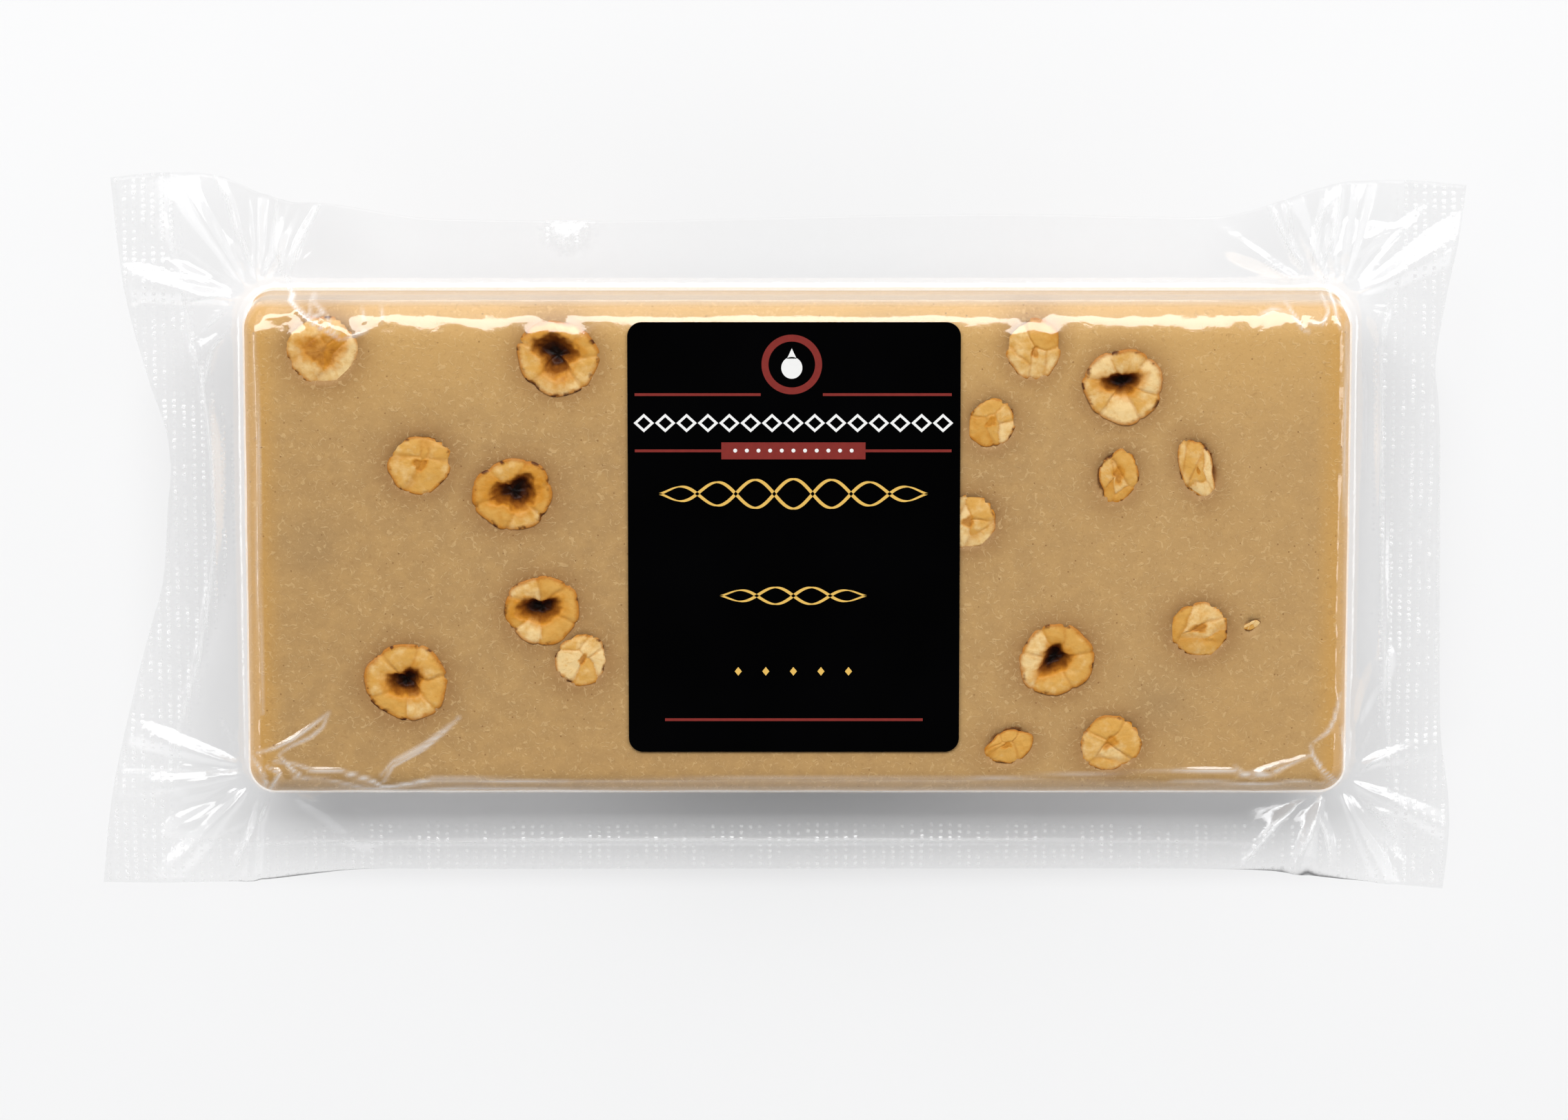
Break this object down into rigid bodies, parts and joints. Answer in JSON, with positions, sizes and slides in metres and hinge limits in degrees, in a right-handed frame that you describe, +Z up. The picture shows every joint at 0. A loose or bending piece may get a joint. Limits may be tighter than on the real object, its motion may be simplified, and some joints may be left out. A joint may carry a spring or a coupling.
{
  "type": "vacuum-packed nougat block",
  "caption": "Slab of hazelnut nougat sealed flat in a clear vacuum pouch, with a wavy film skirt all round and a plain dark label on its face.",
  "frame": {"origin": "middle of the slab's flat underside, where the pack rests", "axes": "+Z up out of the labelled face, +X along the slab's length, +Y towards the pouch's upper edge as the label reads"},
  "size_m": [0.2496, 0.1341, 0.0248],
  "materials": {
    "nougat": "satin, tan nougat paste seen through tight clear film",
    "hazelnut": "cream kernel with toasted brown edges and a dark hollow",
    "film": "clear glossy film with embossed seals",
    "label": "semi-gloss black label stock",
    "print_red": "dark red print",
    "print_white": "white print",
    "print_gold": "pale gold print"
  },
  "bodies": {
    "root": {"vacuum_pack": "nougat", "label": "label"}
  },
  "joints": []
}
